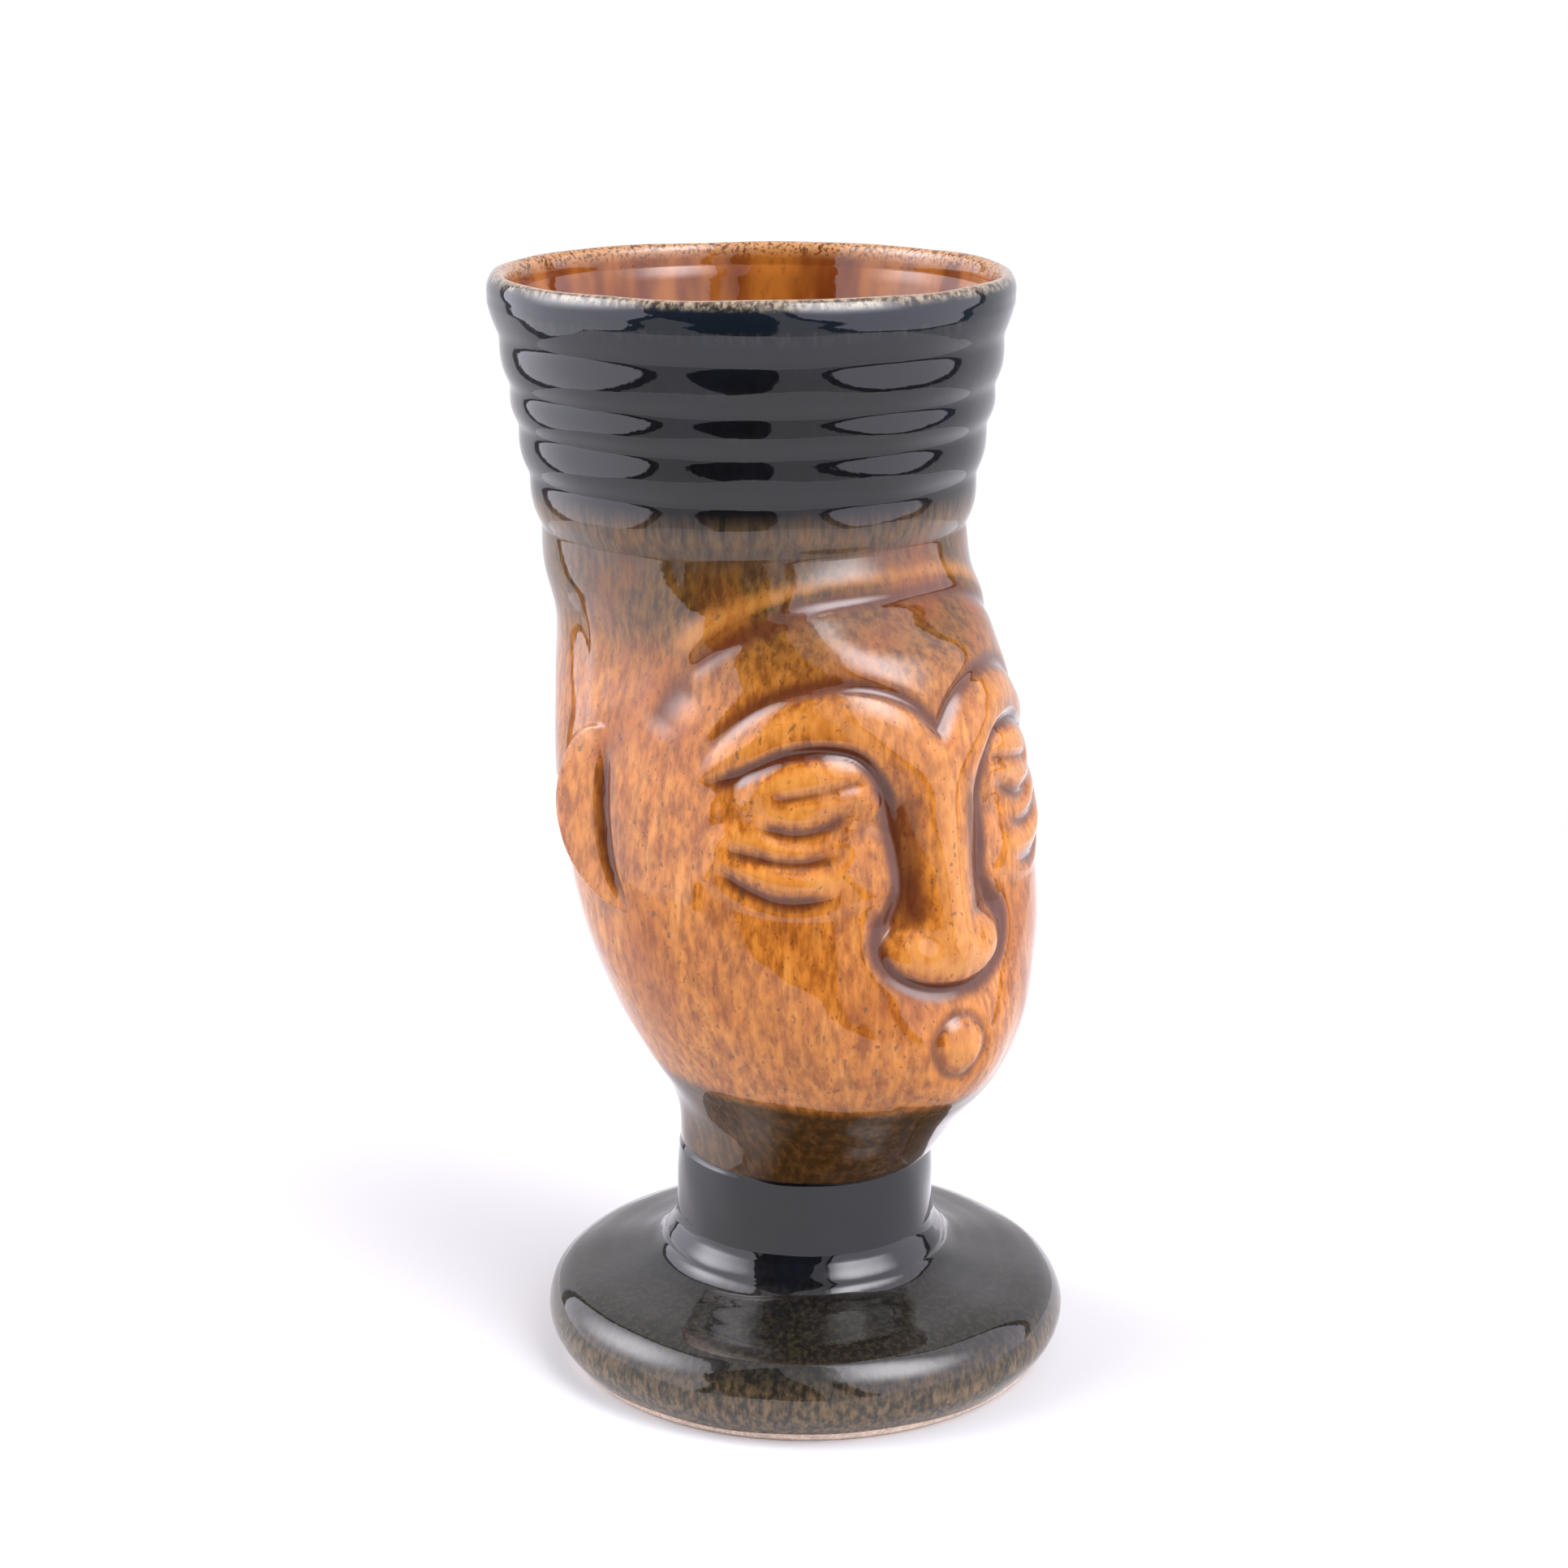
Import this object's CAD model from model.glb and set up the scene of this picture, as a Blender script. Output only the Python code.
"""Glazed ceramic goblet mug with a stylised carved-mask head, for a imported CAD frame.

The whole mug is one continuous skin of rings: up the outside from the bare clay underside to the lip,
and down the inside to the floor of the bowl. Relief is pushed out of the skin along its normals, and the
skin is then cut into the same pieces as the CAD model. Lengths are millimetres until the meshes are made.
"""

import bpy
import numpy as np
from mathutils import Matrix, Vector


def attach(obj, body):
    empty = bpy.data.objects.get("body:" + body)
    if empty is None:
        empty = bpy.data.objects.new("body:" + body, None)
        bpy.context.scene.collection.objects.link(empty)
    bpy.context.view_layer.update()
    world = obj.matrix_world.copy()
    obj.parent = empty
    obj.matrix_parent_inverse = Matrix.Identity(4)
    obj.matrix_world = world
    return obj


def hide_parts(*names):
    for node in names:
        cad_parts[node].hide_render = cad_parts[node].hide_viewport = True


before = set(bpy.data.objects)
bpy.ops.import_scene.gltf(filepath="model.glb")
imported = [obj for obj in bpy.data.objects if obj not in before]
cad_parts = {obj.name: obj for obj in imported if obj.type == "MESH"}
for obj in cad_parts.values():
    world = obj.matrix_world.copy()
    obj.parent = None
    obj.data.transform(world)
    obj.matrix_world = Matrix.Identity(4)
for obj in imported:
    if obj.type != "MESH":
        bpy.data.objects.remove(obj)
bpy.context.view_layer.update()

MM = 0.001

# Joints between the stacked pieces, and the drinking space.
RIM_TOP = 170.0
CROWN_BOTTOM = 132.0
HEAD_BOTTOM = 34.5
NECK_BOTTOM = 21.5
BARE_CLAY_TOP = 1.2
WALL = 3.4
BOWL_FLOOR = 44.0

# The crown.
CROWN_AXIS_Y = 14.3
CROWN_BOTTOM_RADIUS = 32.6
CROWN_FLARE = 0.2
ROLL_GROOVES = (132.0, 140.0, 147.3, 153.2, 160.7, 172.0)
ROLL_DEPTH = 0.7
ROLL_SKEW = 0.8
ROLL_SOFTNESS = 0.6

# Head outline, as (height, size) points.
FRONT_REACH = ((34.5, 21), (42, 27.5), (52, 36.3), (60, 38.6), (70, 37.2), (82, 35), (95, 33.8),
               (108, 33), (118, 28.9), (126, 20.8), (132, 18.3))
BACK_REACH = ((34.5, 21), (42, 21.7), (52, 27.5), (60, 31.2), (70, 34.8), (82, 38.6), (95, 41.7),
              (108, 44), (118, 45.7), (126, 46.8), (132, 46.9))
HALF_WIDTH = ((34.5, 19.5), (42, 21), (52, 26.6), (60, 30.6), (70, 34.4), (82, 36), (95, 35.9),
              (108, 33.4), (118, 31.4), (126, 32.4), (132, 32.6))
CENTRE_Y = ((34.5, -0.6), (42, -3), (60, -2), (82, 0), (95, 4), (108, 8), (118, 11.5), (126, 14),
            (132, 14.3))

# Foot and neck, as (radius, height) points from the table up.
CLAY_PROFILE = ((37.2, 0), (37.6, 0.3), (38.0, BARE_CLAY_TOP))
FOOT_PROFILE = ((38.3, 1.4), (39.9, 3.4), (40.9, 5.4), (41.1, 6.8), (40.8, 8.8), (39.9, 10.9),
                (38.2, 12.6), (35.5, 13.8), (30.5, 14.9), (26, 16), (23.6, 17), (22.5, 18.1),
                (22.2, 19), (21.4, 20.2), (20.6, NECK_BOTTOM))
NECK_PROFILE = ((20.3, 22.4), (20.2, 26), (20.2, 30), (20.0, 34.2))

# Fineness of the skin, in columns round it and in millimetres between rings.
COLUMNS = 420
FRONT_CROWDING = 0.45
HEAD_STEP = 0.36
CROWN_STEP = 0.42

# Face drawing. Across is the distance round the head from the middle of the face, one side only.
ACROSS_PER_DEGREE = 0.62
BROW_TOP = ((0, 108.3), (3.5, 111.8), (9, 114.3), (15, 115.1), (22, 114.3), (28, 111.8), (33, 108),
            (36.5, 103.8), (38, 100))
BROW_UNDERSIDE = ((38, 100), (33, 101.2), (28.5, 103.2), (23.6, 105.5), (18.5, 106.2), (13.6, 105.2),
                  (10.3, 101.9), (8.6, 98.6), (8.2, 96))
NOSE_SIDE = ((8.2, 96), (7.8, 90), (7.6, 85), (9.3, 82), (11.3, 79.6), (11.8, 76.8), (10.5, 73.8),
             (8, 71.7), (4.5, 70.3), (1.8, 69.9), (0, 69.9))
EYE_SLIT = ((26.5, 98.6), (23, 99.4), (18.6, 100.3), (13.2, 101.4), (10.8, 101.7))
UNDER_EYE_LINES = (
    ((28, 95.8), (23.6, 94.4), (20, 94.5), (17, 95.7), (14.5, 97.2), (11.2, 99.6)),
    ((34, 91.2), (28.5, 90.8), (24.8, 90), (21, 89.8), (17.5, 90.6), (13, 92.2)),
    ((34.4, 89), (31.6, 87.2), (28.5, 85.6), (25, 84.4), (22, 84.3), (18, 85), (14, 86.8)),
)
CAP_EDGE = ((0, 126.2), (6, 126.2), (13.6, 125.6), (22.3, 123.5), (29.8, 120.8), (34.7, 118.4),
            (39, 115.4))
TEMPLE_HOLLOW = ((36.6, 115), (41, 111.5), (44, 106))
EAR_CREASE = ((52.6, 106), (53.4, 98), (54.2, 91), (54.4, 86), (52.6, 80.5), (51, 78))
# Middles of the folds under the closed eye, where the glaze is pale.
EYE_PUFFS = ((19, 97.6), (22, 92.9), (24, 88.0))
# Grooves as (line, depth, half width, pooled glaze, its half width, fade at the start, at the end).
GROOVES = (
    (BROW_TOP, 0.45, 1.2, 0.65, 1.5, 0, 0.35),
    (BROW_UNDERSIDE, 0.5, 1.2, 0.95, 1.5, 0.22, 0),
    (NOSE_SIDE, 0.4, 1.2, 0.9, 1.6, 0, 0),
    (EYE_SLIT, 0.6, 1.1, 0.6, 1.25, 0.2, 0.2),
    (UNDER_EYE_LINES[0], 0.8, 1.4, 0.65, 1.4, 0.2, 0.35),
    (UNDER_EYE_LINES[1], 0.75, 1.4, 0.6, 1.4, 0.2, 0.4),
    (UNDER_EYE_LINES[2], 0.8, 1.4, 0.7, 1.5, 0.15, 0.4),
    (TEMPLE_HOLLOW, 0.4, 2.6, 0.5, 1.8, 0.3, 0.3),
)
MOUTH_HEIGHT = 61.3
MOUTH_RADIUS = 4.6
MOUTH_STRETCH = 1.08
EAR_MIDDLE = 92.6
EAR_HALF_HEIGHT = 13.2
EAR_DEPTH = 6.5
EAR_LEAST_DEPTH = 0.6
EAR_BACK_SHARE = 0.75


# ---------------------------------------------------------------- curves and fields

def smooth_curve(points):
    """A smooth function through (position, value) points."""
    x, y = (np.array(column, float) for column in zip(*sorted(points)))
    slope = np.gradient(y, x)

    def value(at):
        i = np.clip(np.searchsorted(x, at) - 1, 0, len(x) - 2)
        h = x[i + 1] - x[i]
        t = np.clip((at - x[i]) / h, 0, 1)
        return ((1 + 2 * t) * (1 - t) ** 2 * y[i] + t * (1 - t) ** 2 * h * slope[i]
                + t * t * (3 - 2 * t) * y[i + 1] + t * t * (t - 1) * h * slope[i + 1])

    return value


def smooth_line(points, count=80):
    """Evenly spaced points on a smooth line through the given points."""
    corners = np.array(points, float)
    along = np.concatenate(([0], np.cumsum(np.linalg.norm(np.diff(corners, axis=0), axis=1))))
    at = np.linspace(0, along[-1], count)
    return np.stack([smooth_curve(list(zip(along, corners[:, k])))(at) for k in range(corners.shape[1])], 1)


def smoothstep(low, high, value):
    t = np.clip((value - low) / (high - low), 0, 1)
    return t * t * (3 - 2 * t)


def dome(*ratios):
    """1 at the centre of an ellipse, falling smoothly to 0 at its edge."""
    return np.clip(1 - sum(ratio ** 2 for ratio in ratios), 0, None)


def soft_max(a, b, softness):
    return 0.5 * (a + b + np.sqrt((a - b) ** 2 + softness ** 2))


def line_distance(across, up, points, count=80):
    """Distance to a smooth line, how far along it (0 to 1), and on which side (+1 is its left)."""
    line = smooth_line(points, count)
    best = np.full(across.shape, np.inf)
    along = np.zeros(across.shape)
    side = np.ones(across.shape)
    for i, (start, end) in enumerate(zip(line[:-1], line[1:])):
        dx, dy = end - start
        t = np.clip(((across - start[0]) * dx + (up - start[1]) * dy) / (dx * dx + dy * dy), 0, 1)
        away = np.hypot(across - start[0] - t * dx, up - start[1] - t * dy)
        nearer = away < best
        best = np.where(nearer, away, best)
        along = np.where(nearer, (i + t) / (count - 1), along)
        cross = dx * (up - start[1]) - dy * (across - start[0])
        side = np.where(nearer, np.sign(cross), side)
    return best, along, side


def groove_shape(along, away, width, fade_in, fade_out):
    """1 in the middle of a soft groove, dying away at its sides and over the given parts of its ends."""
    shape = np.exp(-(away / width) ** 2)
    if fade_in:
        shape = shape * smoothstep(0, fade_in, along)
    if fade_out:
        shape = shape * smoothstep(0, fade_out, 1 - along)
    return shape


def inside_outline(across, up, outline):
    """Even-odd test of points against a closed outline."""
    inside = np.zeros(across.shape, bool)
    for (x0, y0), (x1, y1) in zip(outline, np.roll(outline, -1, axis=0)):
        if y0 == y1:
            continue
        crosses = (y0 > up) != (y1 > up)
        inside ^= crosses & (across < x0 + (up - y0) * (x1 - x0) / (y1 - y0))
    return inside


def blurred(field, rings, columns):
    """Gaussian blur of a field on the skin, by so many rings and columns."""
    for axis, sigma in ((0, rings), (1, columns)):
        reach = int(3 * sigma)
        weights = np.exp(-0.5 * (np.arange(-reach, reach + 1) / sigma) ** 2)
        weights /= weights.sum()
        mode = "edge" if axis == 0 else "wrap"
        pad = [(reach, reach) if k == axis else (0, 0) for k in range(2)]
        padded = np.pad(field, pad, mode=mode)
        field = sum(w * np.take(padded, range(i, i + field.shape[axis]), axis=axis)
                    for i, w in enumerate(weights))
    return field


# ---------------------------------------------------------------- relief

NOSE_RIDGE = smooth_curve(((69, -0.3), (71.5, 1.9), (75, 3.7), (79, 3.7), (84, 3.2), (90, 2.7), (96, 2.0),
                           (102, 1.2), (108, 0.4)))
NOSE_REACH = smooth_curve(((69, 8.4), (92, 8.0), (98, 8.8), (104, 11.5), (108, 14)))


def brow_and_nose_distance(across, up):
    """Distance inside (+) or outside (-) the outline of one half of the brow and nose."""
    parts = [smooth_line(points) for points in (BROW_TOP, BROW_UNDERSIDE, NOSE_SIDE)]
    inside = inside_outline(across, up, np.concatenate(parts))
    away = np.min([line_distance(across, up, points)[0]
                   for points in (BROW_TOP, BROW_UNDERSIDE, NOSE_SIDE)], axis=0)
    return np.where(inside, away, -away)


def nose_height(across, up):
    """The nose above the plain head: straight flanks up to a narrow ridge that runs into a broad tip."""
    foot_of_flank = -1.2 * smoothstep(107, 97, up)
    rounded = np.sqrt(across ** 2 + 1.3 ** 2) - 1.3
    flank = np.clip(1 - rounded / NOSE_REACH(up), 0, 1) ** 1.15
    ridge = foot_of_flank + (NOSE_RIDGE(up) - foot_of_flank) * flank
    tip = -2.6 + 5.2 * np.sqrt(dome(across / 12, (up - 75.3) / 6.4))
    return soft_max(ridge, tip, 1.1)


def mouth_distance(across, up):
    """Distance from the middle of the mouth, which is a little wider than it is high."""
    return np.hypot(across / MOUTH_STRETCH, up - MOUTH_HEIGHT)


def face_height(across, up):
    """Eyes, mouth, temples and cap edge above the plain head, on one side of the face."""
    height = -1.5 * dome((across - 16) / 20, (up - 101) / 19) ** 2
    height += 2.0 * dome((across - 19.8) / 11, (up - 99.8) / 7)
    height += 1.1 * dome((across - 22) / 16, (up - 89.5) / 8)
    height += 1.3 * dome(across / 18, (up - 62) / 14) ** 1.5
    from_mouth = mouth_distance(across, up)
    height += 0.55 * dome(from_mouth / MOUTH_RADIUS)
    height -= 0.38 * np.exp(-((from_mouth - MOUTH_RADIUS) / 1.1) ** 2)
    rolled = cap_edge_shape(across, up, 2.1, 1.9) - cap_edge_shape(across, up, -0.4, 1.1)
    return height + 0.35 * rolled


def cap_edge_shape(across, up, above, width):
    """1 along a line so far above the cap's lower edge, dying away at its sides and its end."""
    away, along, side = line_distance(across, up, CAP_EDGE)
    return np.exp(-((away * side - above) / width) ** 2) * smoothstep(0, 0.1, 1 - along)


def ear_crease(up):
    """Where the crease in front of the ear runs, as a distance across at each height."""
    return smooth_curve([(z, x) for x, z in EAR_CREASE])(up)


def ear_height(across, up):
    """One ear: a half-moon lug whose front face rises from a crease to a rounded rim."""
    fullness = np.sqrt(dome((up - EAR_MIDDLE) / EAR_HALF_HEIGHT))
    t = (across - ear_crease(up)) / (EAR_DEPTH * fullness + EAR_LEAST_DEPTH)
    front = np.clip(t, 0, 1) ** 0.85
    back = np.cos(0.5 * np.pi * np.clip((t - 1) / EAR_BACK_SHARE, 0, 1)) ** 2
    lug = 3.3 * fullness * np.where(t < 1, front, back)
    ridge = 0.4 * np.exp(-((across - 54.5) / 2.4) ** 2) * smoothstep(104, 108, up)
    ridge *= smoothstep(124, 117, up)
    return lug - 0.6 * ear_crease_shape(across, up, 0.9) + ridge


def ear_crease_shape(across, up, width):
    """1 along the crease in front of the ear, dying away at its sides and ends."""
    ends = smoothstep(79, 84, up) * smoothstep(105, 98, up)
    return ends * np.exp(-((across - ear_crease(up) + 0.3) / width) ** 2)


def pooled_glaze(across, up):
    """Where glaze gathers and turns dark, apart from the drawn grooves."""
    flank = np.exp(-((across - 5.4) / 2.6) ** 2) * smoothstep(78, 82, up) * smoothstep(104, 96, up)
    from_mouth = mouth_distance(across, up)
    mouth_ring = np.exp(-((from_mouth - MOUTH_RADIUS) / 0.9) ** 2)
    ear = 0.9 * ear_crease_shape(across, up, 1.2) + 0.18 * ear_height(across, up)
    return 0.65 * flank + 0.42 * mouth_ring + 0.5 * cap_edge_shape(across, up, -0.5, 1.3) + ear


def thin_glaze(across, up):
    """Where glaze runs thin and pale, on the puffs of the closed eye and the cap's rolled edge."""
    lid = 0.9 * dome((across - 18.5) / 10, (up - 102.6) / 3.4) + 0.15 * cap_edge_shape(across, up, 2.6, 2.2)
    return lid + sum(0.6 * dome((across - x) / 11, (up - z) / 2.3) for x, z in EYE_PUFFS)


def head_relief(azimuth, up):
    """Height above the plain head, pooled glaze, and distance inside the brow and nose."""
    across = np.abs(np.degrees(azimuth)) * ACROSS_PER_DEGREE
    inside = brow_and_nose_distance(across, up)
    raised = smoothstep(-0.6, 1.3, inside)
    brow = 0.6 * smoothstep(0, 4.5, inside)
    nose_side = smoothstep(12.5, 8.5, across) * smoothstep(109, 103, up)
    y_shape = brow * (1 - nose_side) + nose_height(across, up) * nose_side
    height = face_height(across, up) * (1 - raised) + y_shape * raised + ear_height(across, up)
    pooled = pooled_glaze(across, up)
    cut = np.zeros(across.shape)
    for line, depth, width, dark, dark_width, fade_in, fade_out in GROOVES:
        away, along, _ = line_distance(across, up, line)
        cut = np.maximum(cut, depth * groove_shape(along, away, width, fade_in, fade_out))
        pooled = np.maximum(pooled, dark * groove_shape(along, away, dark_width, fade_in, fade_out))
    return height - cut, pooled - thin_glaze(across, up) * (1 - np.clip(pooled, 0, 1)), inside


def hand_made_wobble(azimuth, up):
    """Slow unevenness of a cast and glazed wall."""
    return (0.10 * np.sin(3 * azimuth + 0.09 * up) + 0.07 * np.sin(7 * azimuth - 0.13 * up + 1.3)
            + 0.05 * np.sin(12 * azimuth + 0.31 * up + 0.4))


# ---------------------------------------------------------------- the skin

def crown_radius(height):
    """Outer radius of the crown: a flare with stacked rolls, each fullest near its lower edge."""
    grooves = np.array(ROLL_GROOVES)
    i = np.clip(np.searchsorted(grooves, height, side="right") - 1, 0, len(grooves) - 2)
    up = np.clip((height - grooves[i]) / (grooves[i + 1] - grooves[i]), 0, 1)
    roll = ROLL_DEPTH * np.sin(np.pi * up ** ROLL_SKEW)
    return CROWN_BOTTOM_RADIUS + CROWN_FLARE * (height - CROWN_BOTTOM) + roll


def soft_crown_radius(height):
    """The crown's radius with its groove bottoms rounded by the glaze."""
    offsets = np.linspace(-2.5, 2.5, 21) * ROLL_SOFTNESS
    weights = np.exp(-0.5 * (offsets / ROLL_SOFTNESS) ** 2)
    samples = [w * crown_radius(np.clip(height + d, CROWN_BOTTOM, None)) for d, w in zip(offsets, weights)]
    return sum(samples) / weights.sum()


def round_rows(points):
    """Rings about the neck's axis, from (radius, height) points."""
    return [(radius, radius, radius, 0.0, height) for radius, height in points]


def crown_rows(points):
    """Rings about the crown's axis, from (radius, height) points."""
    return [(radius, radius, radius, CROWN_AXIS_Y, height) for radius, height in points]


def head_row(height, standoff, shrink=1.0):
    """A ring of the head: half width, reach forward, reach back, centre and height."""
    centre = float(smooth_curve(CENTRE_Y)(height))
    width = (float(smooth_curve(HALF_WIDTH)(height)) + standoff) * shrink
    front = (float(smooth_curve(FRONT_REACH)(height)) + centre + standoff) * shrink
    back = (float(smooth_curve(BACK_REACH)(height)) - centre + standoff) * shrink
    return (width, front, back, centre, height)


def evenly(first, last, step):
    return np.linspace(first, last, max(2, int(round(abs(last - first) / step)) + 1))


def skin_rows():
    """All rings from the underside to the bowl's floor, and where each stretch of them begins."""
    stretches = {}
    rows = []

    def add(name, new_rows):
        stretches[name] = len(rows)
        rows.extend(new_rows)

    add("clay", round_rows(smooth_line(CLAY_PROFILE, 6)))
    add("foot", round_rows(smooth_line(FOOT_PROFILE, 90)))
    add("neck", round_rows(smooth_line(NECK_PROFILE, 30)))
    add("head", [head_row(z, 0) for z in evenly(HEAD_BOTTOM, CROWN_BOTTOM - HEAD_STEP, HEAD_STEP)])
    crown_heights = evenly(CROWN_BOTTOM, 165.5, CROWN_STEP)
    add("crown", crown_rows(zip(soft_crown_radius(crown_heights), crown_heights)))
    lip = smooth_line(((40.0, 166.3), (40.0, 167.6), (39.6, 168.9), (38.9, RIM_TOP - 0.2),
                       (38.1, RIM_TOP - 0.1), (37.4, 169.3), (36.95, 168), (36.7, 166.2)), 34)
    add("lip", crown_rows(lip))
    inner_heights = evenly(165.2, CROWN_BOTTOM + 0.8, 1.0)
    inner_radius = CROWN_BOTTOM_RADIUS + CROWN_FLARE * (inner_heights - CROWN_BOTTOM) - WALL + 0.45
    add("crown_inside", crown_rows(zip(inner_radius, inner_heights)))
    add("head_inside", [head_row(z, -WALL) for z in evenly(CROWN_BOTTOM - 0.4, BOWL_FLOOR + 8, 1.4)])
    for turn in np.linspace(0, 0.5 * np.pi, 12)[1:-1]:
        height = BOWL_FLOOR + 8 - 8 * np.sin(turn)
        rows.append(head_row(height, -WALL, 0.25 + 0.75 * np.cos(turn)))
    return np.array(rows), stretches


def skin_positions(rows, azimuth):
    width, front, back, centre, height = (rows[:, k:k + 1] for k in range(5))
    forward = np.cos(azimuth)
    reach = np.where(forward > 0, front, back)
    x = width * np.sin(azimuth)
    y = centre - reach * forward
    return np.stack([x, y, np.broadcast_to(height, x.shape)], -1)


def skin_normals(positions):
    round_step = np.roll(positions, -1, axis=1) - np.roll(positions, 1, axis=1)
    up_step = np.gradient(positions, axis=0)
    normals = np.cross(round_step, up_step)
    return normals / np.linalg.norm(normals, axis=-1, keepdims=True)


def skin_azimuths():
    turn = 2 * np.pi * np.arange(COLUMNS) / COLUMNS
    wrapped = np.where(turn > np.pi, turn - 2 * np.pi, turn)
    return (wrapped - FRONT_CROWDING * np.sin(wrapped))[None, :]


rows, stretches = skin_rows()
azimuth = skin_azimuths()
plain = skin_positions(rows, azimuth)
plain_normals = skin_normals(plain)
heights = np.broadcast_to(rows[:, 4:5], plain.shape[:2])
azimuths = np.broadcast_to(azimuth, plain.shape[:2])

relief = np.zeros(plain.shape[:2])
pooled = np.zeros(plain.shape[:2])
brow_nose_inside = np.full(plain.shape[:2], -99.0)
head_span = slice(stretches["head"], stretches["crown"])
relief[head_span], pooled[head_span], brow_nose_inside[head_span] = head_relief(
    azimuths[head_span], heights[head_span])
outside_span = slice(stretches["foot"], stretches["crown_inside"])
relief[outside_span] += hand_made_wobble(azimuths[outside_span], heights[outside_span])

skin = plain + relief[..., None] * plain_normals
normals = skin_normals(skin)

# Positive on crests, where glaze runs thin, and negative where it pools.
crown_span = slice(stretches["crown"], stretches["crown_inside"])
raised = relief.copy()
flare = CROWN_BOTTOM_RADIUS + CROWN_FLARE * (rows[crown_span, 4:5] - CROWN_BOTTOM)
raised[crown_span] += rows[crown_span, 0:1] - flare
CREST_SCALES = ((5, 0.7), (15, 2.0))
crests = sum((raised - blurred(raised, spread, spread)) / full for spread, full in CREST_SCALES)
crests = blurred(np.clip(crests, -0.35, 1), 1.5, 1.5)
detail = crests * (1 - np.clip(pooled, 0, 1)) - pooled
detail[stretches["lip"]:] = 0
detail[:stretches["head"]] = 0


# ---------------------------------------------------------------- pieces

GRID = np.arange(skin.shape[0] * COLUMNS).reshape(skin.shape[0], COLUMNS)
APPLIED_DEPTH = 1.2
recessed = skin - APPLIED_DEPTH * normals
all_points = np.concatenate((skin.reshape(-1, 3), recessed.reshape(-1, 3)))
all_normals = np.concatenate((normals.reshape(-1, 3), normals.reshape(-1, 3)))
all_detail = np.concatenate((detail.ravel(), detail.ravel()))
UNDER = GRID.size
inside_rows = smoothstep(stretches["lip"] + 12, stretches["lip"] + 20, np.arange(len(rows), dtype=float))
all_inside = np.tile(np.repeat(inside_rows, COLUMNS), 2)


def quads_between(lower, upper):
    """Faces between two rings of point numbers."""
    return np.stack([lower, np.roll(lower, -1), np.roll(upper, -1), upper], -1)


def band(first, last):
    """Faces between ring first and ring last, ring by ring, as a grid of quads."""
    return np.stack([quads_between(GRID[r], GRID[r + 1]) for r in range(first, last)])


def edge_walls(patch, mask):
    """Wall quads round a masked patch of the skin, from its surface down to the recessed copy."""
    neighbours = (np.roll(mask, 1, axis=0), np.roll(mask, -1, axis=1), np.roll(mask, -1, axis=0),
                  np.roll(mask, 1, axis=1))
    walls = []
    for k, neighbour in enumerate(neighbours):
        edge = patch[mask & ~neighbour]
        a, b = edge[:, k], edge[:, (k + 1) % 4]
        walls.append(np.stack([b, a, a + UNDER, b + UNDER], -1))
    return np.concatenate(walls)


def make_piece(name, material, curved, flat=(), fans=()):
    """A closed mesh from curved skin quads, flat joint quads, and fans given as (ring, height, facing)."""
    points = [all_points]
    quads = [np.asarray(curved).reshape(-1, 4)] + [np.asarray(part).reshape(-1, 4) for part in flat]
    curved_count = len(quads[0])
    triangles = []
    for ring, height, facing in fans:
        centre = sum(len(part) for part in points)
        middle = all_points[ring].mean(axis=0)
        points.append(np.array([[middle[0], middle[1], height]]))
        following = np.roll(ring, -1)
        pair = (ring, following) if facing > 0 else (following, ring)
        triangles.append(np.stack([np.full(len(ring), centre), *pair], -1))
    points = np.concatenate(points)
    quads = np.concatenate(quads)
    triangles = np.concatenate(triangles) if triangles else np.zeros((0, 3), int)
    used, renumbered = np.unique(np.concatenate((quads.ravel(), triangles.ravel())), return_inverse=True)
    faces = renumbered[:quads.size].reshape(-1, 4).tolist()
    faces += renumbered[quads.size:].reshape(-1, 3).tolist()

    mesh = bpy.data.meshes.new(name)
    mesh.from_pydata((points[used] * MM).tolist(), [], faces)
    smooth = np.zeros(len(faces), bool)
    smooth[:curved_count] = True
    mesh.polygons.foreach_set("use_smooth", smooth)
    mesh.update()
    own_normals = np.zeros((len(mesh.loops), 3))
    own_normals[:curved_count * 4] = all_normals[quads[:curved_count].ravel()]
    mesh.normals_split_custom_set(own_normals.tolist())
    extra = len(points) - len(all_points)
    thinness = mesh.attributes.new("glaze_detail", "FLOAT", "POINT")
    thinness.data.foreach_set("value", np.concatenate((all_detail, np.zeros(extra)))[used])
    inside = mesh.attributes.new("inside", "FLOAT", "POINT")
    inside.data.foreach_set("value", np.concatenate((all_inside, np.zeros(extra)))[used])
    mesh.materials.append(material)
    piece = bpy.data.objects.new(name, mesh)
    bpy.context.collection.objects.link(piece)
    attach(piece, "root")
    return piece


# ---------------------------------------------------------------- materials

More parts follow.
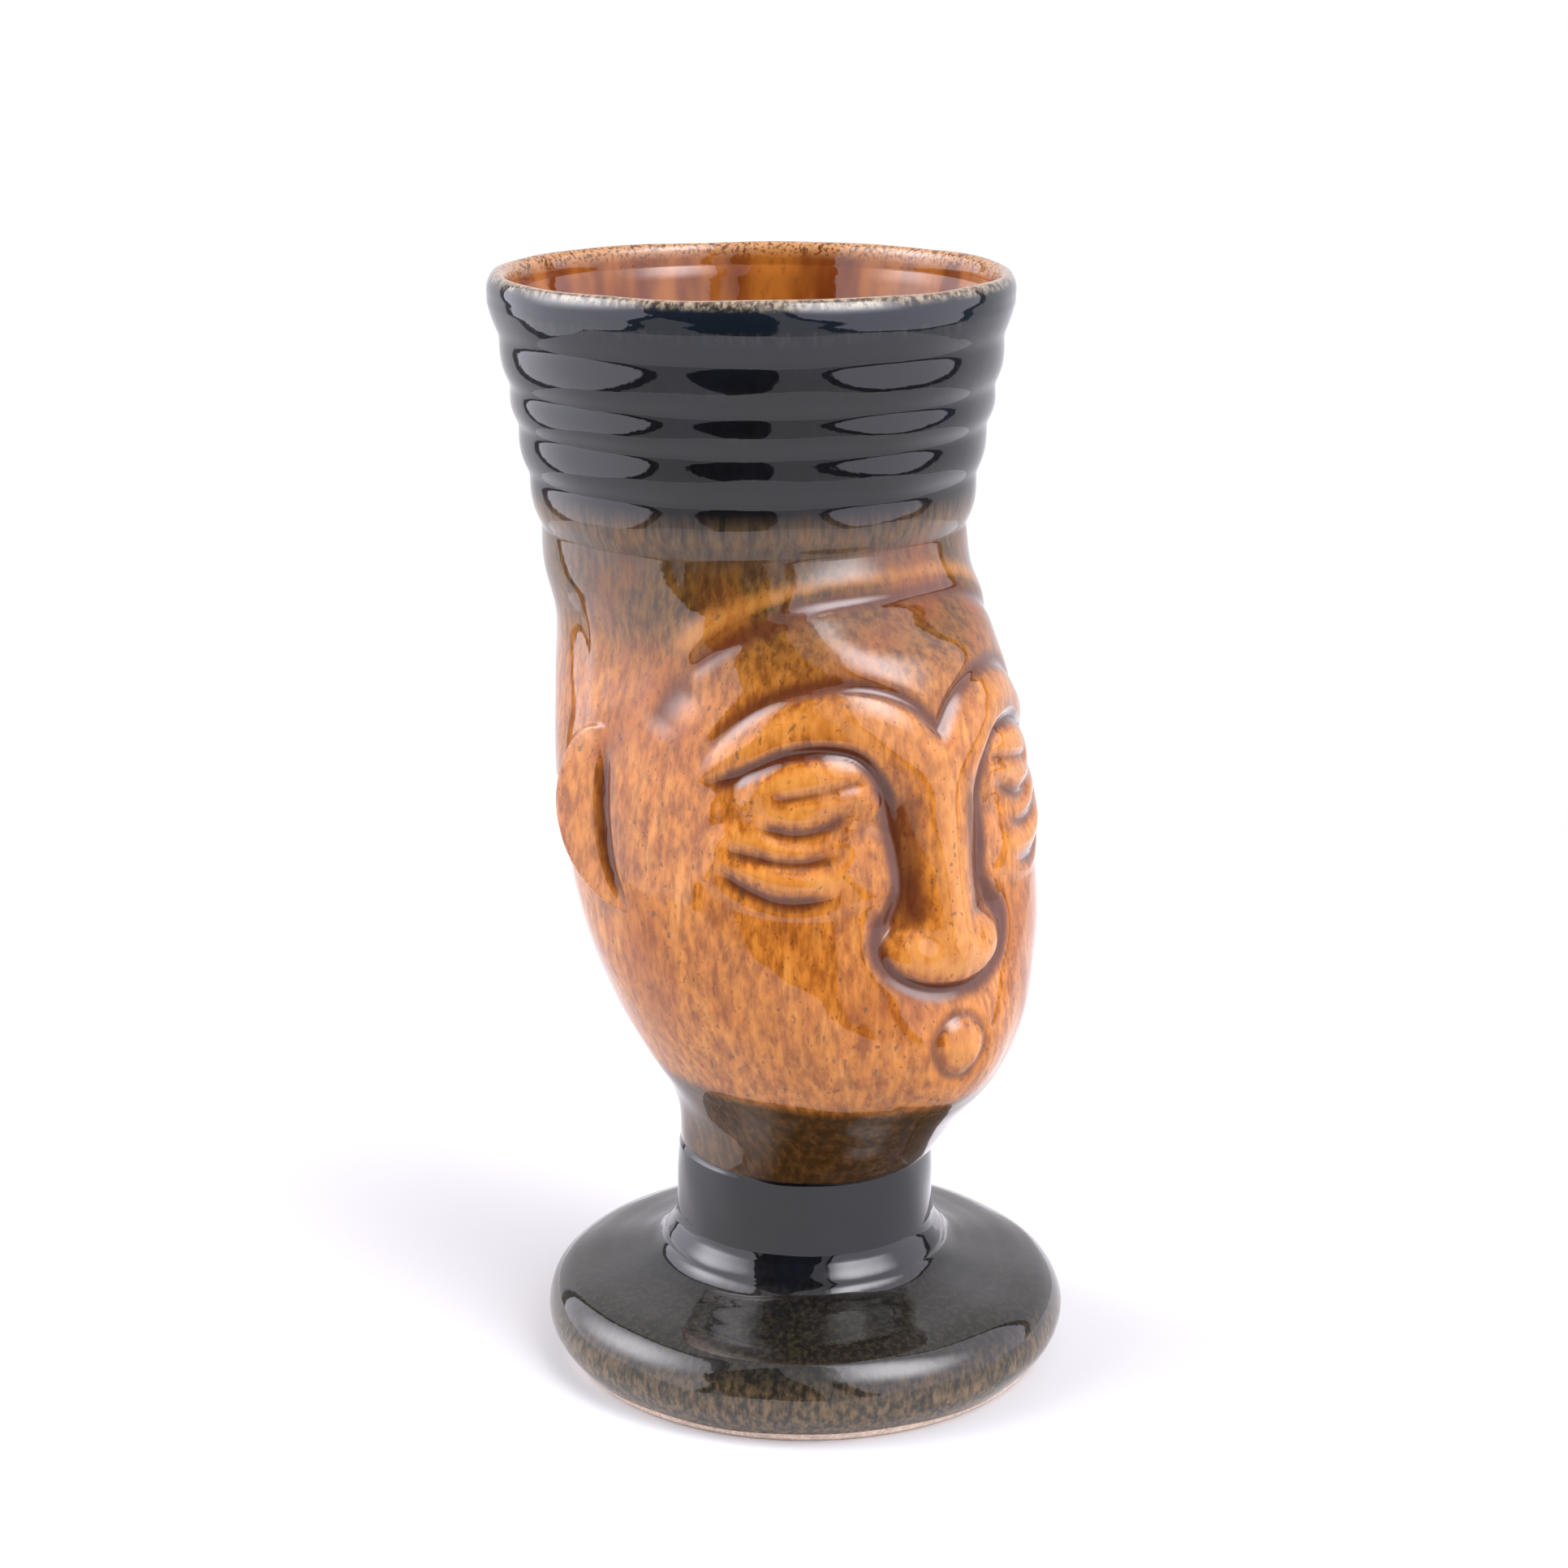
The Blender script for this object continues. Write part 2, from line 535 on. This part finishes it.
class Nodes:
    """A short way to write the node tree of a material or a world."""

    def __init__(self, owner):
        owner.use_nodes = True
        self.tree = owner.node_tree
        self.shader = self.tree.nodes.get("Principled BSDF")

    def add(self, kind, inputs=None, output=0, **settings):
        """Adds a node, sets or links its inputs, and gives back one of its outputs."""
        node = self.tree.nodes.new(kind)
        for key, value in settings.items():
            setattr(node, key, value)
        for key, value in (inputs or {}).items():
            self.put(node.inputs[key], value)
        return node.outputs[output]

    def put(self, socket, value):
        if isinstance(value, bpy.types.NodeSocket):
            self.tree.links.new(value, socket)
        else:
            socket.default_value = value

    def math(self, operation, a, b=0.0, clamp=False):
        return self.add("ShaderNodeMath", {0: a, 1: b}, operation=operation, use_clamp=clamp)

    def range(self, value, low, high, to_low=0.0, to_high=1.0):
        """Moves value from low..high to to_low..to_high, smoothly and clamped."""
        sockets = {"Value": value, "From Min": low, "From Max": high, "To Min": to_low, "To Max": to_high}
        return self.add("ShaderNodeMapRange", sockets, interpolation_type="SMOOTHSTEP")

    def mix(self, factor, a, b):
        colours = {"Factor": factor, "A": a, "B": b}
        node = self.tree.nodes.new("ShaderNodeMix")
        node.data_type = "RGBA"
        for key, index in (("Factor", 0), ("A", 6), ("B", 7)):
            self.put(node.inputs[index], colours[key])
        return node.outputs[2]

    def noise(self, place, scale, detail=3.0, roughness=0.55):
        sockets = {"Vector": place, "Scale": scale, "Detail": detail, "Roughness": roughness}
        return self.add("ShaderNodeTexNoise", sockets)

    def stretched(self, place, x, y, z, offset=0.0):
        """Coordinates scaled per axis, for streaks, with an offset for an independent pattern."""
        sockets = {"Vector": place, "Scale": (x, y, z), "Location": (offset, offset, offset)}
        return self.add("ShaderNodeMapping", sockets)


def rgb(red, green, blue):
    return (red, green, blue, 1.0)


# Glaze colours.
HONEY_DARK = rgb(0.21, 0.058, 0.006)
HONEY = rgb(0.48, 0.165, 0.022)
HONEY_LIGHT = rgb(0.62, 0.27, 0.06)
RUST = rgb(0.20, 0.042, 0.005)
CREST_AMBER = rgb(0.50, 0.22, 0.048)
GROOVE_BROWN = rgb(0.06, 0.012, 0.005)
OLIVE_DARK = rgb(0.024, 0.013, 0.0035)
OLIVE_LIGHT = rgb(0.10, 0.048, 0.009)
GREEN_SPECK = rgb(0.03, 0.034, 0.02)


def specks(nodes, place, scale, threshold, offset):
    """Scattered small soft dots, 1 inside a dot."""
    grain = nodes.noise(nodes.stretched(place, 1, 1, 0.7, offset), scale, 1.5, 0.5)
    return nodes.range(grain, threshold, threshold + 0.05)


def place_in_millimetres(nodes):
    """Object coordinates in millimetres."""
    sockets = {0: nodes.add("ShaderNodeTexCoord", output=3), "Scale": 1 / MM}
    return nodes.add("ShaderNodeVectorMath", sockets, operation="SCALE")


def amber_colour(nodes, place, height, detail_value):
    """Honey-brown glaze: mottled and streaked, paler on crests, purple-brown in grooves."""
    fine = nodes.noise(nodes.stretched(place, 1, 1, 0.4, 3.1), 0.75, 5, 0.62)
    streaks = nodes.noise(nodes.stretched(place, 1, 1, 0.12, 7.7), 0.55, 4, 0.62)
    slow = nodes.noise(nodes.stretched(place, 1, 1, 0.6, 11.0), 0.05, 2, 0.5)
    base = nodes.mix(nodes.range(fine, 0.3, 0.68), HONEY_DARK, HONEY)
    base = nodes.mix(nodes.range(streaks, 0.5, 0.78, 0, 0.6), base, HONEY_LIGHT)
    base = nodes.mix(nodes.range(streaks, 0.48, 0.28, 0, 0.5), base, RUST)
    olive = nodes.mix(nodes.range(fine, 0.35, 0.65), OLIVE_DARK, OLIVE_LIGHT)
    patchy = nodes.range(slow, 0.25, 0.5, 0.7, 1.0)
    olive_zone = nodes.math("MULTIPLY", nodes.range(height, 106, 126), patchy)
    base = nodes.mix(nodes.math("MULTIPLY", olive_zone, 0.95), base, olive)
    base = nodes.mix(nodes.range(slow, 0.5, 0.34, 0, 0.5), base, RUST)
    crest = nodes.mix(nodes.range(fine, 0.3, 0.66), HONEY, CREST_AMBER)
    base = nodes.mix(nodes.range(detail_value, 0.0, 0.9, 0, 0.7), base, crest)
    base = nodes.mix(nodes.range(detail_value, 0.0, -0.9, 0, 0.93), base, GROOVE_BROWN)
    base = nodes.mix(nodes.math("MULTIPLY", specks(nodes, place, 1.3, 0.67, 21.0), 0.5), base, GROOVE_BROWN)
    base = nodes.mix(nodes.math("MULTIPLY", specks(nodes, place, 0.8, 0.69, 33.0), 0.55), base, GREEN_SPECK)
    under_chin = nodes.mix(nodes.range(fine, 0.42, 0.7), OLIVE_DARK, rgb(0.07, 0.034, 0.008))
    return nodes.mix(nodes.range(height, 53, 49.5, 0, 0.93), base, under_chin)


def blue_colour(nodes, place, height, detail_value):
    """Blue-black glaze: tan and cream streaks where it breaks thin, near black elsewhere."""
    fine = nodes.noise(nodes.stretched(place, 1, 1, 0.5, 5.2), 1.1, 4, 0.6)
    streaks = nodes.noise(nodes.stretched(place, 1, 1, 0.16, 9.4), 0.9, 3, 0.65)
    slow = nodes.noise(nodes.stretched(place, 1, 1, 1, 15.0), 0.06, 2, 0.5)
    base = nodes.mix(nodes.range(fine, 0.35, 0.7), rgb(0.0008, 0.0008, 0.0013), rgb(0.0025, 0.0027, 0.0045))
    base = nodes.mix(nodes.range(slow, 0.45, 0.7, 0, 0.8), base, rgb(0.002, 0.0038, 0.008))
    breaking = nodes.math("MULTIPLY", nodes.range(streaks, 0.4, 0.68), nodes.range(detail_value, 0.25, 0.8))
    base = nodes.mix(nodes.math("MULTIPLY", breaking, 0.6), base, rgb(0.085, 0.07, 0.052))
    lowest_roll = nodes.math("MULTIPLY", nodes.range(height, 139.5, 134.5), nodes.range(height, 120, 125))
    lowest_roll = nodes.math("MULTIPLY", lowest_roll, nodes.range(streaks, 0.3, 0.7, 0.2, 0.8))
    base = nodes.mix(lowest_roll, base, rgb(0.13, 0.08, 0.042))
    base = nodes.mix(nodes.range(height, 157, 168, 0, 0.7), base, rgb(0.0035, 0.0075, 0.013))
    lip = nodes.range(height, 168.3, 169.5)
    cream = nodes.mix(nodes.range(fine, 0.4, 0.6), rgb(0.04, 0.025, 0.014), rgb(0.30, 0.25, 0.17))
    base = nodes.mix(nodes.math("MULTIPLY", lip, nodes.range(streaks, 0.3, 0.6, 0.3, 0.9)), base, cream)
    olive_foot = nodes.math("MULTIPLY", nodes.range(height, 20, 14), nodes.range(fine, 0.4, 0.7, 0.2, 0.8))
    base = nodes.mix(olive_foot, base, rgb(0.026, 0.021, 0.011))
    low = nodes.math("MULTIPLY", nodes.range(height, 12.5, 5), nodes.range(streaks, 0.3, 0.6, 0.4, 1.0))
    tan = nodes.mix(nodes.range(fine, 0.35, 0.65), rgb(0.03, 0.027, 0.017), rgb(0.19, 0.12, 0.06))
    return nodes.mix(nodes.math("MULTIPLY", low, 0.8), base, tan)


def inside_colour(nodes, place, height):
    """Orange-brown glaze inside the mug, running in soft vertical drifts."""
    fine = nodes.noise(nodes.stretched(place, 1, 1, 0.4, 2.2), 0.8, 4, 0.6)
    drifts = nodes.noise(nodes.stretched(place, 1, 1, 0.2, 6.0), 0.16, 2, 0.5)
    base = nodes.mix(nodes.range(drifts, 0.35, 0.65), rgb(0.13, 0.027, 0.002), rgb(0.31, 0.10, 0.013))
    base = nodes.mix(nodes.range(fine, 0.5, 0.75, 0, 0.5), base, rgb(0.14, 0.03, 0.005))
    grain = nodes.noise(nodes.stretched(place, 1, 1, 1, 41.0), 1.6, 3, 0.6)
    rim = nodes.mix(nodes.range(grain, 0.38, 0.55), rgb(0.07, 0.025, 0.008), rgb(0.42, 0.22, 0.09))
    return nodes.mix(nodes.range(height, 167.0, 169.4, 0, 0.85), base, rim)


def glaze(name):
    """Clear glossy glaze over colour that changes with height, side of the wall and depth of relief."""
    material = bpy.data.materials.new(name)
    nodes = Nodes(material)
    place = place_in_millimetres(nodes)
    height = nodes.add("ShaderNodeSeparateXYZ", {0: place}, output=2)
    detail_value = nodes.add("ShaderNodeAttribute", output=2, attribute_name="glaze_detail")
    inner = nodes.add("ShaderNodeAttribute", output=2, attribute_name="inside")
    ragged = nodes.noise(nodes.stretched(place, 1, 1, 0.12, 4.4), 0.5, 3, 0.6)
    shift = nodes.math("MULTIPLY", nodes.math("SUBTRACT", ragged, 0.5), 14)
    ragged_height = nodes.math("ADD", height, shift)
    amber = amber_colour(nodes, place, height, detail_value)
    blue = blue_colour(nodes, place, height, detail_value)
    upper = nodes.range(ragged_height, 126, 138)
    lower = nodes.range(height, 35.1, 34.4)
    colour = nodes.mix(nodes.math("MAXIMUM", upper, lower), amber, blue)
    colour = nodes.mix(inner, colour, inside_colour(nodes, place, height))
    nodes.put(nodes.shader.inputs["Base Color"], colour)
    ripple = nodes.noise(place, 0.35, 2, 0.5)
    pits = nodes.math("MULTIPLY", nodes.noise(place, 2.4, 2, 0.5), 0.05)
    sockets = {"Height": nodes.math("ADD", ripple, pits), "Strength": 0.12, "Distance": 0.25 * MM}
    nodes.put(nodes.shader.inputs["Coat Normal"], nodes.add("ShaderNodeBump", sockets))
    nodes.shader.inputs["Roughness"].default_value = 0.45
    nodes.shader.inputs["Specular IOR Level"].default_value = 0.05
    nodes.shader.inputs["Coat Weight"].default_value = 1.0
    nodes.shader.inputs["Coat Roughness"].default_value = 0.015
    nodes.shader.inputs["Coat IOR"].default_value = 1.5
    return material


def bare_clay():
    """Matt unglazed clay with a fine grain."""
    material = bpy.data.materials.new("bare_clay")
    nodes = Nodes(material)
    place = place_in_millimetres(nodes)
    grain = nodes.noise(place, 1.6, 5, 0.65)
    stains = nodes.noise(place, 0.12, 3, 0.5)
    colour = nodes.mix(nodes.range(grain, 0.3, 0.7), rgb(0.5, 0.36, 0.27), rgb(0.76, 0.62, 0.52))
    colour = nodes.mix(nodes.range(stains, 0.5, 0.75, 0, 0.4), colour, rgb(0.42, 0.27, 0.18))
    nodes.put(nodes.shader.inputs["Base Color"], colour)
    bump = nodes.add("ShaderNodeBump", {"Height": grain, "Strength": 0.5, "Distance": 0.15 * MM})
    nodes.put(nodes.shader.inputs["Normal"], bump)
    nodes.shader.inputs["Roughness"].default_value = 0.85
    return material


blue_glaze = glaze("blue_glaze")
amber_glaze = glaze("amber_glaze")
clay = bare_clay()


# ---------------------------------------------------------------- the mug

def ring(name):
    return GRID[stretches[name]]


def add_round_piece(name, node, material, first, last):
    """A solid round piece between two rings, closed by a flat joint at each end."""
    bottom, top = ring(first), ring(last)
    fans = ((bottom, all_points[bottom[0], 2], -1), (top, all_points[top[0], 2], 1))
    piece = make_piece(name, material, band(stretches[first], stretches[last]), fans=fans)
    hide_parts(node)


add_round_piece("clay_underside", "bare_underside", clay, "clay", "foot")
add_round_piece("foot", "foot_disc", blue_glaze, "foot", "neck")
add_round_piece("neck_post", "neck", blue_glaze, "neck", "head")

crown = make_piece("crown", blue_glaze, band(stretches["crown"], stretches["head_inside"]),
                   flat=[quads_between(ring("head_inside"), ring("crown"))])
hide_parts("crown_wall")

head_faces = band(stretches["head"], stretches["crown"])
face_corners = head_faces.reshape(-1, 4)
corner_azimuth = azimuths.ravel()[face_corners].mean(axis=1).reshape(head_faces.shape[:2])
seam = np.abs(azimuths.ravel()[face_corners].max(axis=1) - azimuths.ravel()[face_corners].min(axis=1)) > 1
corner_azimuth[seam.reshape(head_faces.shape[:2])] = np.pi
corner_height = heights.ravel()[face_corners].mean(axis=1).reshape(head_faces.shape[:2])
corner_across = np.abs(np.degrees(corner_azimuth)) * ACROSS_PER_DEGREE
inside_distance = brow_nose_inside.ravel()[face_corners].mean(axis=1).reshape(head_faces.shape[:2])

mouth_mask = mouth_distance(corner_across, corner_height) < MOUTH_RADIUS
crease_across = ear_crease(corner_height)
ear_fullness = np.sqrt(dome((corner_height - EAR_MIDDLE) / EAR_HALF_HEIGHT))
ear_reach = (1 + EAR_BACK_SHARE) * (EAR_DEPTH * ear_fullness + EAR_LEAST_DEPTH)
ear_mask = ((corner_across > crease_across) & (corner_across < crease_across + ear_reach)
            & (ear_fullness > 0))
applied = {
    "brow_nose": ("brow_and_nose", inside_distance > 0),
    "mouth": ("mouth_boss", mouth_mask),
    "right_ear": ("ear_right", ear_mask & (corner_azimuth < 0)),
    "left_ear": ("ear_left", ear_mask & (corner_azimuth > 0)),
}

covered = np.zeros(head_faces.shape[:2], bool)
hole_walls = []
for name, (node, mask) in applied.items():
    patch = head_faces[mask]
    walls = edge_walls(head_faces, mask)
    piece = make_piece(name, amber_glaze, patch, flat=[patch[:, ::-1] + UNDER, walls])
    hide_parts(node)
    covered |= mask
    hole_walls.append(walls[:, ::-1])

floor_ring = GRID[-1]
head = make_piece(
    "head", amber_glaze,
    np.concatenate((head_faces[~covered], band(stretches["head_inside"], len(rows) - 1).reshape(-1, 4))),
    flat=[head_faces[covered] + UNDER, *hole_walls, quads_between(ring("crown"), ring("head_inside"))],
    fans=((ring("head"), HEAD_BOTTOM, -1), (floor_ring, BOWL_FLOOR, 1)),
)
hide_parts("head_bowl")


# ---------------------------------------------------------------- floor, light and camera

# The table's radius is in metres.
TABLE_RADIUS = 0.34
TABLE_WHITE = rgb(0.56, 0.56, 0.56)

# Light round the mug, as radiance. Angles are in degrees, turning from the gap's side of the mug, and a
# patch's lean is how many degrees it turns for each degree that it rises.
GAP_SIDE = (-0.579, -0.815, 0.0)
GAP_ACROSS = (0.815, -0.579, 0.0)
WHITE_WALLS = rgb(0.9, 0.88, 0.94)
DARK_GAP = rgb(0.04, 0.04, 0.04)
STUDIO_PATCHES = (
    # turn, half width, rise, half height, lean, softness of the edge, radiance
    (-90, 54, 18, 52, 0, 0.03, DARK_GAP),
    (-90, 49, 18, 47, 0, 0.03, rgb(2.2, 2.15, 2.4)),
    (-90, 44, 36, 34, 0, 0.9, rgb(9.6, 9.4, 10.1)),
    (70, 56, 34, 62, 0, 0.03, DARK_GAP),
    (70, 51, 34, 57, 0, 0.03, rgb(1.9, 1.85, 2.1)),
    (52, 42, 50, 40, 0, 0.85, rgb(11.5, 11.3, 12)),
    (-20, 26, 24, 54, -0.35, 0.04, DARK_GAP),
)


def add_floor():
    """A round white table top, small enough for the mug to mirror the studio below its edge."""
    turns = np.linspace(0, 2 * np.pi, 96, endpoint=False)
    corners = [(TABLE_RADIUS * np.cos(turn), TABLE_RADIUS * np.sin(turn), 0) for turn in turns]
    mesh = bpy.data.meshes.new("floor")
    mesh.from_pydata(corners, [], [tuple(range(len(corners)))])
    material = bpy.data.materials.new("floor_white")
    nodes = Nodes(material)
    nodes.shader.inputs["Base Color"].default_value = TABLE_WHITE
    nodes.shader.inputs["Roughness"].default_value = 0.9
    nodes.shader.inputs["Specular IOR Level"].default_value = 0.0
    mesh.materials.append(material)
    floor = bpy.data.objects.new("floor", mesh)
    bpy.context.collection.objects.link(floor)


def add_world():
    """A white studio with two bright panels and a dark gap between them, each a patch of the sky."""
    world = bpy.data.worlds.new("white_studio")
    nodes = Nodes(world)
    direction = nodes.add("ShaderNodeTexCoord", output=0)
    ahead = nodes.add("ShaderNodeVectorMath", {0: direction, 1: GAP_SIDE}, 1, operation="DOT_PRODUCT")
    across = nodes.add("ShaderNodeVectorMath", {0: direction, 1: GAP_ACROSS}, 1, operation="DOT_PRODUCT")
    turn = nodes.math("ARCTAN2", across, ahead)
    rise = nodes.math("ARCSINE", nodes.add("ShaderNodeSeparateXYZ", {0: direction}, output=2))
    colour = WHITE_WALLS
    for turn_middle, half_width, rise_middle, half_height, lean, soft, radiance in STUDIO_PATCHES:
        rise_away = nodes.math("SUBTRACT", rise, float(np.radians(rise_middle)))
        leaning = nodes.math("SUBTRACT", turn, nodes.math("MULTIPLY", rise_away, lean))
        turn_away = nodes.math("SUBTRACT", leaning, float(np.radians(turn_middle)))
        squares = []
        for away, half in ((turn_away, half_width), (rise_away, half_height)):
            squares.append(nodes.math("POWER", nodes.math("DIVIDE", away, float(np.radians(half))), 2.0))
        from_middle = nodes.math("SQRT", nodes.math("ADD", *squares))
        colour = nodes.mix(nodes.range(from_middle, 1.0, 1.0 - soft), colour, radiance)
    to_camera = nodes.add("ShaderNodeLightPath", output=0)
    colour = nodes.mix(to_camera, colour, rgb(1, 1, 1))
    background = nodes.tree.nodes["Background"]
    nodes.put(background.inputs["Color"], colour)
    background.inputs["Strength"].default_value = 1.0
    bpy.context.scene.world = world


# The camera, in millimetres.
LENS = 73.84
CAMERA_PLACE = (-276.4, -388.8, 227.2)
CAMERA_FORWARD = (0.5519, 0.7883, -0.2720)


def add_camera():
    camera_data = bpy.data.cameras.new("camera")
    camera_data.sensor_width = 36.0
    camera_data.lens = LENS
    camera_data.clip_end = 20.0
    camera = bpy.data.objects.new("camera", camera_data)
    bpy.context.collection.objects.link(camera)
    place = Vector(CAMERA_PLACE) * MM
    forward = Vector(CAMERA_FORWARD)
    camera.matrix_world = Matrix.Translation(place) @ forward.to_track_quat("-Z", "Y").to_matrix().to_4x4()
    bpy.context.scene.camera = camera


add_floor()
add_world()
add_camera()
bpy.context.scene.view_settings.view_transform = "Standard"
